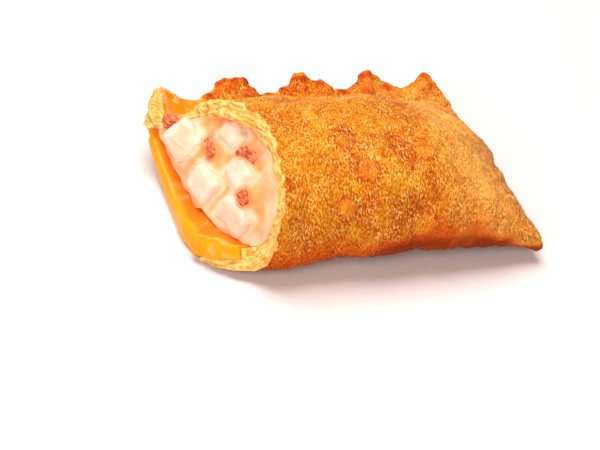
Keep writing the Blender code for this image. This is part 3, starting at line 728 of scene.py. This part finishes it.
set_finish(shader, colour.outputs[MIXED], bump, {
    "Roughness": 0.42, "IOR": 1.45, "Specular IOR Level": 0.06,
    "Subsurface Weight": 0.25, "Subsurface Radius": (1.0, 0.5, 0.2), "Subsurface Scale": 0.0012,
})
dress(shell, fried, "fried_pastry", "pastry_crust")

# %% [markdown]
# ## What stands in the filling
# The dice and the bacon are placed first, and the cream is then laid round them.

# %% Dice in the cream: name, size, middle and turn in degrees
POTATOES = (
    ("potato_1", (0.0064, 0.0084, 0.0070), (-0.0005, 0.0128, 0.0102), (8, 40, 16)),
    ("potato_2", (0.0062, 0.0088, 0.0062), (0.0083, 0.0046, 0.0161), (-6, 45, 10)),
    ("potato_3", (0.0060, 0.0074, 0.0054), (0.0060, -0.0052, 0.0133), (6, 42, 6)),
    ("potato_4", (0.0054, 0.0086, 0.0056), (0.0003, 0.0000, 0.0085), (-4, 20, 2)),
    ("potato_5", (0.0046, 0.0082, 0.0054), (0.0028, -0.0109, 0.0085), (4, 12, 16)),
)
BACON = (
    ("bacon_1", (0.0032, 0.0030, 0.0022), (-0.0034, 0.0187, 0.0123), (0, 6, 12)),
    ("bacon_2", (0.0026, 0.0056, 0.0022), (0.0017, 0.0061, 0.0136), (7, 40, 0)),
    ("bacon_3", (0.0026, 0.0062, 0.0022), (0.0067, -0.0030, 0.0179), (-13, 36, 14)),
    ("bacon_4", (0.0022, 0.0032, 0.0024), (0.0036, -0.0108, 0.0129), (20, 36, 14)),
)


def placed(middle, turn):
    """The matrix that turns a dice and moves it to its middle."""
    return Matrix.Translation(middle) @ Euler([math.radians(t) for t in turn]).to_matrix().to_4x4()


def away_from(points, size, middle, turn):
    """How far points lie from a dice, less than 0 inside it."""
    back = np.array(placed(middle, turn).inverted())
    own = np.abs(points @ back[:3, :3].T + back[:3, 3]) - np.array(size) / 2
    return np.linalg.norm(np.maximum(own, 0), axis=-1) + np.minimum(own.max(axis=-1), 0)


print(len(POTATOES), "potato dice and", len(BACON), "pieces of bacon")

# %% [markdown]
# ## Diced potato
# Each dice is a cube cut with a knife and then boiled, so its edges have gone round and soft.
# A cube primitive is scaled, its edges bevelled, and its faces divided so that two Displace
# modifiers can make it uneven.

# %% Displacement textures
def bumps(name, size):
    """A cloudy texture for a Displace modifier."""
    texture = bpy.data.textures.new(name, type="CLOUDS")
    texture.noise_scale = size
    texture.noise_depth = 2
    return texture


def roughen(thing, texture, height):
    """Moves the points along their normals by a texture and applies it."""
    alone(thing)
    bpy.ops.object.modifier_add(type="DISPLACE")
    modifier = thing.modifiers[-1]
    modifier.texture = texture
    modifier.texture_coords = "LOCAL"
    modifier.strength = height
    modifier.mid_level = 0.5
    bpy.ops.object.modifier_apply(modifier=modifier.name)


soft_bumps, fine_bumps = bumps("soft_bumps", 0.0030), bumps("fine_bumps", 0.0009)
print("textures", soft_bumps.noise_scale, fine_bumps.noise_scale)


# %% Cut a dice
def cut_dice(name, size, middle, turn, rounding, divide, grow, taper=0.0, bend=0.0):
    """A cube with its edges rounded and its faces divided, in its place, narrower to +Y or bent."""
    bpy.ops.object.select_all(action="DESELECT")
    bpy.ops.mesh.primitive_cube_add(size=1)
    dice = bpy.context.object
    dice.name = dice.data.name = name
    bpy.ops.object.mode_set(mode="EDIT")
    bpy.ops.transform.resize(value=[s + grow for s in size])
    bpy.ops.mesh.bevel(offset=rounding, segments=4, affect="EDGES")
    bpy.ops.mesh.subdivide(number_cuts=divide)
    bpy.ops.mesh.vertices_smooth(factor=0.5, repeat=2)
    bpy.ops.object.mode_set(mode="OBJECT")
    for vertex in dice.data.vertices:
        share = vertex.co.y / size[1]
        vertex.co.x *= 1 - taper * (share + 0.5)
        vertex.co.z -= bend * (2 * share) ** 2
    skew = Matrix.Shear("XY", 4, (0.10, -0.07)) @ Matrix.Shear("XZ", 4, (-0.08, 0.06))
    dice.data.transform(Matrix.Translation(SHIFT) @ placed(middle, turn) @ skew)
    bpy.ops.object.shade_smooth()
    return dice


potatoes = []
for name, size, middle, turn in POTATOES:
    dice = cut_dice("dice_" + name, size, middle, turn, rounding=0.0019, divide=6, grow=0.0008)
    roughen(dice, soft_bumps, height=0.0008)
    roughen(dice, fine_bumps, height=0.00018)
    potatoes.append((dice, name))
print(len(potatoes), "dice")

# %% [markdown]
# Boiled potato is starchy and half clear: pale cream in patches of 3.3 mm, lighter at its edges
# where light comes through, and wet. Its meal, finer than 0.2 mm, is drawn at 0.7 mm to show.

# %% Boiled potato finish
POTATO = ((0.35, "#d6b099"), (0.5, "#dcb9a8"), (0.65, "#e0c2b5"))
boiled, tree, shader = new_material("boiled_potato")
place = add(tree, "TexCoord").outputs["Object"]
patches = add(tree, "TexNoise", {"Scale": scale_of(3.333), "Detail": 2.0}, {"Vector": place})
tint = add(tree, "ValToRGB", {"stops": POTATO}, {"Fac": patches})
meal = add(tree, "TexNoise", {"Scale": scale_of(0.6667), "Detail": 2.0}, {"Vector": place})
bump = add(tree, "Bump", {"Strength": 0.3, "Distance": 0.0003}, {"Height": meal})
set_finish(shader, tint.outputs["Color"], bump, {
    "Roughness": 0.42, "Specular IOR Level": 0.3,
    "Subsurface Weight": 0.55, "Subsurface Radius": (1.0, 0.9, 0.75), "Subsurface Scale": 0.0015,
})
for dice, name in potatoes:
    dress(dice, boiled, "boiled_potato", name)

# %% [markdown]
# ## Bacon
# Small strips cut from a cured rasher: pink lean meat with a grain of fibres, paler where there
# is fat. They are made like the dice, with sharper edges.

# %% Cut the bacon
SHAPED = {"bacon_2": {"taper": 0.4}, "bacon_3": {"taper": 0.15, "bend": 0.0008}}
strips = []
for name, size, middle, turn in BACON:
    strip = cut_dice(
        "strip_" + name, size, middle, turn, rounding=0.0008, divide=4, grow=0.0001, **SHAPED.get(name, {})
    )
    roughen(strip, soft_bumps, height=0.0007)
    roughen(strip, fine_bumps, height=0.00030)
    strips.append((strip, name))
print(len(strips), "strips")

# %% [markdown]
# Curing keeps the lean pink, and cooking leaves it matt with a little fat on it. Its fibres run
# across the pie, 2 mm long and 0.3 to 0.5 mm thick: real ones are finer, and wouldn't show.

# %% Bacon finish
MEAT = ((0.36, "#963a28"), (0.5, "#b25a38"), (0.64, "#ca8456"))
cured, tree, shader = new_material("cured_bacon")
place = add(tree, "TexCoord").outputs["Object"]
drawn_out = add(tree, "Mapping", {"Scale": (1.0, 0.25, 1.6)}, {"Vector": place})
fibres = add(
    tree, "TexNoise", {"Scale": scale_of(0.5263), "Detail": 2.0, "Distortion": 0.4}, {"Vector": drawn_out}
)
tint = add(tree, "ValToRGB", {"stops": MEAT}, {"Fac": fibres})
bump = add(tree, "Bump", {"Strength": 0.4, "Distance": 0.0003}, {"Height": fibres})
set_finish(shader, tint.outputs["Color"], bump, {
    "Roughness": 0.5, "Specular IOR Level": 0.2,
    "Subsurface Weight": 0.4, "Subsurface Radius": (1.0, 0.35, 0.25), "Subsurface Scale": 0.0014,
})
for strip, name in strips:
    dress(strip, cured, "bacon", name)

# %% [markdown]
# ## Cream
# The filling is potato and bacon in a thick white sauce, which sets into a soft lumpy face
# across the tear and fills the hollow behind it. Its face is a disc of rings, laid in code
# between the walls, that climbs a little up the side of every dice that stands in it.

# %% Cheese thickness, which the cream leaves free
CHEESE_FROM, CHEESE_TO = 204, 356


def pool(degrees, middle, width):
    """1 in the middle of a place where the sauce gathered, less away from there."""
    return np.exp(-(((degrees - middle) / width) ** 2))


def cheese_share(degrees):
    """How thick the cheese is at an angle, over the thickness of its edges."""
    body = ease((degrees - CHEESE_FROM) / 16) * ease((CHEESE_TO - degrees) / 30)
    return body * (0.0019 + 0.0011 * pool(degrees, 248, 26) + 0.0006 * pool(degrees, 305, 18))


def cheese_skin(degrees):
    """The cheese at its edges, thin as a film at the seam."""
    return 0.0002 + 0.0003 * ease((CHEESE_TO - degrees) / 22)


def cheese_inset(angle):
    """How far the cheese pushes the cream in from the pastry."""
    degrees = degrees_round(angle)
    ends = (CHEESE_FROM - 4, CHEESE_FROM - 1.5, CHEESE_TO + 1.5, CHEESE_TO + 4)
    there = np.interp(degrees, ends, (0, 1, 1, 0))
    return there * (0.0001 + cheese_skin(degrees)) + cheese_share(degrees)


print("cheese at most", round(float(cheese_share(248.0)) * 1000, 2), "mm over its edges")

# %% How far the dice stand out of the cream
def stand_proud(points, direction, things):
    """How far the nearest surface of some things stands over points, along a direction."""
    reach = 0.006
    trees = [BVHTree.FromObject(thing, bpy.context.evaluated_depsgraph_get()) for thing in things]
    heights = np.zeros(points.shape[:2])
    ahead = Vector(direction)
    for at in np.ndindex(heights.shape):
        start_point = Vector(points[at]) + SHIFT + ahead * reach
        for ray_tree in trees:
            hit = ray_tree.ray_cast(start_point, -ahead, reach)
            if hit[0] is not None:
                heights[at] = max(heights[at], reach - hit[3])
    return heights


def spread(points, values, weights, width):
    """Values averaged over the points round each point, as a soft sauce evens out."""
    flat, out = points.reshape(-1, 3), np.zeros(values.size)
    area, level = np.broadcast_to(weights, values.shape).ravel(), values.ravel()
    at_once = 400  # points, which keeps the arrays small
    for first in range(0, len(flat), at_once):
        some = slice(first, first + at_once)
        gap = flat[some, None] - flat[None]
        share = np.exp(-(gap**2).sum(-1) / (2 * width**2)) * area
        out[some] = (share * level).sum(1) / share.sum(1)
    return out.reshape(values.shape)


in_cream = [thing for thing, _ in potatoes + strips]
print(len(in_cream), "pieces stand in the cream")

# %% Cream body
CREAM_ROUND, CREAM_ROWS = 200, 15
# How far the cream's edge draws back under the rim, at angles round it
UNDER_RIM = (
    (0, 0), (40, 0.0002), (60, 0.0018), (90, 0.0022), (120, 0.0005), (150, 0.0006), (180, 0), (200, 0)
)
cream_angle = np.concatenate([
    even_angles(3, 180, CREAM_ROUND // 2), even_angles(180, 359, CREAM_ROUND // 2)[1:]
])
cream_degrees = degrees_round(cream_angle)
uneven = 0.5 + 0.3 * np.sin(0.30 * cream_degrees) + 0.2 * np.sin(0.13 * cream_degrees + 1)
inset = 0.0001 + cheese_inset(cream_angle) + 0.0009 * uneven * under_cheese(cream_angle)
cream_end = pressed_end(half_width * np.cos(cream_angle))
to_rim = np.interp(cream_degrees, *zip(*UNDER_RIM))
sunk_beside_cheese = 0.0009 * ease((cream_degrees - 258) / 24) * ease((352 - cream_degrees) / 20)
cream_start = curve_through(TEAR_ANGLES, FACE_REACH, cream_degrees) - to_rim + sunk_beside_cheese
rows = np.linspace(0, 1, CREAM_ROWS)[:, None] ** 1.5
cream_x = np.concatenate([
    cream_start + (CAVITY_ROUND_START - cream_start) * rows,
    CAVITY_ROUND_START + (CAVITY_ROUND - inset) * ROUNDED_IN,
])
body = cavity_form(cream_x, cream_angle, inset, cream_end)
print("cream body", body.shape[:2])

# %% Cream face
FACE_RINGS, FACE_SUNK = 56, 0.0012
front, centre = body[0].copy(), body[0].mean(axis=0)
front[..., 0] += to_rim
ring = np.linspace(0.02, 1, FACE_RINGS, endpoint=False)[:, None, None]
out = ring[..., 0]
face = centre + (front - centre) * ring
face[..., 0] -= to_rim * out**7
face[..., 0] -= FACE_SUNK * (1 - out**2)
face[..., 0] += 0.0006 * swell(face, waves(seed=11, count=6, longest=0.009, shortest=0.005)) * (1 - out**4)
outwards = np.array((-0.72, -0.10, 0.66))
outwards /= np.linalg.norm(outwards)
pale, blush = np.zeros(face.shape[:2]), np.zeros(face.shape[:2])
for name, size, middle, turn in POTATOES:
    pale = np.maximum(pale, 1 - ease(away_from(face, size, middle, turn) / 0.0018))
for name, size, middle, turn in BACON:
    blush = np.maximum(blush, 1 - ease((away_from(face, size, middle, turn) - 0.0002) / 0.0013))
proud = stand_proud(face, outwards, in_cream)
coat = 0.88 * spread(face, proud, out, 0.0011)
soft = ease((1 - out) / 0.10)
# Painted shade under the top rim, darker and redder, added to the blush near the bacon
shade_under_rim = ease((out - 0.90) / 0.06) * ease((cream_degrees - 38) / 20) * ease((118 - cream_degrees) / 25)
blush = np.maximum(blush, shade_under_rim)
relief = (coat + 0.00022 * cloud(face, 0.0024, 8) + 0.00006 * cloud(face, 0.0008, 9)) * soft
face = face + outwards * relief[..., None]
# Painted shade under the top rim: the edge is not whitened there, and goes darker
top_shade = ease((cream_degrees - 30) / 20) * ease((112 - cream_degrees) / 25)
edge = np.clip((out - 0.72) / 0.28, 0, 1) * (1 - 1.3 * top_shade)
print("cream climbs", round(coat.max() * 1000, 2), "mm, dice stand", round(proud.max() * 1000, 2), "mm proud")

# %% Cream in one piece
round_again = list(range(len(cream_angle))) + [0]
behind = 0 * body[..., 0]
cream_marks = {"pale": (pale, behind), "blush": (blush, behind), "edge": (edge, 1 + behind)}
cream = lay_sheet("cream", np.concatenate([face, body])[:, round_again], {
    mark: np.concatenate(values)[:, round_again] for mark, values in cream_marks.items()
})
close_mesh(cream)
print("cream", len(cream.data.vertices), "points")

# %% [markdown]
# A thick sauce of milk, butter and flour scatters light inside it, so it is never hard white:
# thin places and hollows go peach. It clouds over about 4 mm, and its moist surface has soft
# curds of 0.9 mm.

# %% Cream finish
SAUCE = ((0.15, "#c88444"), (0.5, "#cf8e53"), (1.0, "#dcb598"))
sauce_white, tree, shader = new_material("thick_white_sauce")
place = add(tree, "TexCoord").outputs["Object"]
marks = {name: add(tree, "Attribute", {"attribute_name": name}).outputs["Fac"] for name in cream_marks}
whiter = add(tree, "TexNoise", {"Scale": scale_of(3.846), "Detail": 2.0}, {"Vector": place})
for mark, much in (("pale", 0.66), ("edge", 0.42)):
    whiter = add(tree, "Math", {"operation": "MULTIPLY_ADD", 1: much}, {0: marks[mark], 2: whiter})
peach = add(tree, "ValToRGB", {"stops": SAUCE}, {"Fac": whiter})
# Redder near the bacon, and painted shade under the top rim
redder = add(tree, "Math", {"operation": "MULTIPLY", 1: 0.75}, {0: marks["blush"]})
tint = add(tree, "Mix", {"data_type": "RGBA", SECOND: linear("#d57c4c")}, {SHARE: redder, FIRST: peach})
curds = add(tree, "TexNoise", {"Scale": scale_of(0.9091), "Detail": 2.0}, {"Vector": place})
bump = add(tree, "Bump", {"Strength": 0.35, "Distance": 0.0004}, {"Height": curds})
set_finish(shader, tint.outputs[MIXED], bump, {
    "Roughness": 0.4, "Specular IOR Level": 0.3,
    "Subsurface Weight": 0.3, "Subsurface Radius": (1.0, 0.75, 0.5), "Subsurface Scale": 0.0008,
})
dress(cream, sauce_white, "cream", "cream_filling")

# %% [markdown]
# ## Cheese sauce
# A layer of smooth cheese sauce lies on the inside of the lower sheet and bulges out over its
# torn lip, where it has set with a round, glossy edge. It is a sheet bent back on itself: along
# the pastry, round the edge, and back along the cream.

# %% Cheese layer
CHEESE_STEPS, CHEESE_ROWS, NOSE_ROWS = 120, 34, 12
CHEESE_BACK, PAST_LIP, FLOOR_GAP = 0.044, 0.0007, 0.00005
cheese_angle = even_angles(CHEESE_FROM, CHEESE_TO, CHEESE_STEPS)
cheese_end = pressed_end(half_width * np.cos(cheese_angle))
lip = torn_lip(cheese_angle) - PAST_LIP
degrees = degrees_round(cheese_angle)
thick = cheese_skin(degrees) + cheese_share(degrees)
over_lip = wall(lip, cheese_angle) * (0.55 + 0.50 * under_cheese(cheese_angle))
over_lip = over_lip * ease((CHEESE_TO - degrees) / 20)
back = np.linspace(1, 0, CHEESE_ROWS)[:, None] ** 1.4
outer_x = lip + (CHEESE_BACK - lip) * back
turns = np.linspace(0, math.pi, NOSE_ROWS + 2)[1:-1, None]
nose_x = lip - np.minimum(thick + over_lip, 0.0030) * 0.32 * np.sin(turns)
nose_inset = (thick + over_lip) * (1 - np.cos(turns)) / 2 - over_lip
layers = np.concatenate([
    cavity_form(outer_x, cheese_angle, 0.0001, cheese_end),
    cavity_form(nose_x, cheese_angle, 0.0001 + nose_inset, cheese_end),
    cavity_form(outer_x[::-1], cheese_angle, 0.0001 + thick, cheese_end),
])
run = swell(layers, waves(seed=21, count=5, longest=0.014, shortest=0.008))
ripples = 0.00015 * run * ease((0.004 - layers[..., 0]) / 0.004)
layers[..., 2] = np.maximum(layers[..., 2] + ripples, FLOOR_GAP)
cheese = lay_sheet("cheese", layers, {"inward": ease((layers[..., 0] - lip) / 0.0018)})
close_mesh(cheese)
print("cheese", len(cheese.data.polygons), "faces")

# %% [markdown]
# Melted cheese sets smooth and oily, orange in soft streaks of 5 mm where it ran, with a clear
# gloss over gentle ripples of 3 mm. It is painted yellower at its edge and deep orange inwards
# from there, a painted shade in the recess against the filling.

# %% Cheese finish
CHEESE = ((0.12, "#e6900e"), (0.45, "#e47e08"), (0.9, "#de6c04"))
melted, tree, shader = new_material("set_cheese_sauce")
place = add(tree, "TexCoord").outputs["Object"]
inward = add(tree, "Attribute", {"attribute_name": "inward"}).outputs["Fac"]
# Painted shade: deeper orange inwards from the lip, against the filling
recess_shade = add(tree, "Math", {"operation": "MULTIPLY", 1: 0.8}, {0: inward})
streaks = add(tree, "TexNoise", {"Scale": scale_of(5), "Detail": 1.0}, {"Vector": place})
amount = add(tree, "Math", {"operation": "MULTIPLY_ADD", 1: 0.35}, {0: streaks, 2: recess_shade})
tint = add(tree, "ValToRGB", {"stops": CHEESE}, {"Fac": amount})
ripple = add(tree, "TexNoise", {"Scale": scale_of(2.857), "Detail": 1.0}, {"Vector": place})
bump = add(tree, "Bump", {"Strength": 0.1, "Distance": 0.0005}, {"Height": ripple})
set_finish(shader, tint.outputs["Color"], bump, {
    "Roughness": 0.28, "Specular IOR Level": 0.1, "Coat Weight": 0.18, "Coat Roughness": 0.15,
    "Subsurface Weight": 0.35, "Subsurface Radius": (1.0, 0.6, 0.12), "Subsurface Scale": 0.0016,
})
dress(cheese, melted, "cheese_sauce", "cheese_sauce")

# %% [markdown]
# ## The smear on the lower sheet
# At the seam the upper sheet has torn off, and a thin film of cheese sauce was left on the lower
# one. It is a small flat sheet with a skin above and below, thin at its rim.

# %% Smear of sauce
SMEAR_THICK, SMEAR_BEDDED = 0.00045, 0.0003
across = np.linspace(0, 1, 26)[:, None]
along = np.linspace(0, 1, 46)
smear_flange = 0.04 + 0.90 * across + 0 * along
smear_x = -0.0032 + 0.0080 * along + 0.0012 * across
edge = np.minimum(1, 6 * np.minimum(across, 1 - across)) * np.minimum(1, 9 * np.minimum(along, 1 - along))
JUST_ABOVE = 1e-6  # the middle between the two sheets, counted to the upper one
above = outer_form(smear_x, 0, smear_flange, JUST_ABOVE, pressed_end(half_width))
below = above.copy()
above[..., 2] += SMEAR_THICK * np.sqrt(edge) * (1 + 0.5 * cloud(below, 0.0024, 31))
below[..., 2] -= SMEAR_BEDDED
smear = lay_sheet("sauce_smear", np.concatenate([above, below[::-1]]), {"inward": 0.8 - 0.5 * along})
close_mesh(smear)
dress(smear, melted, "cheese_sauce")
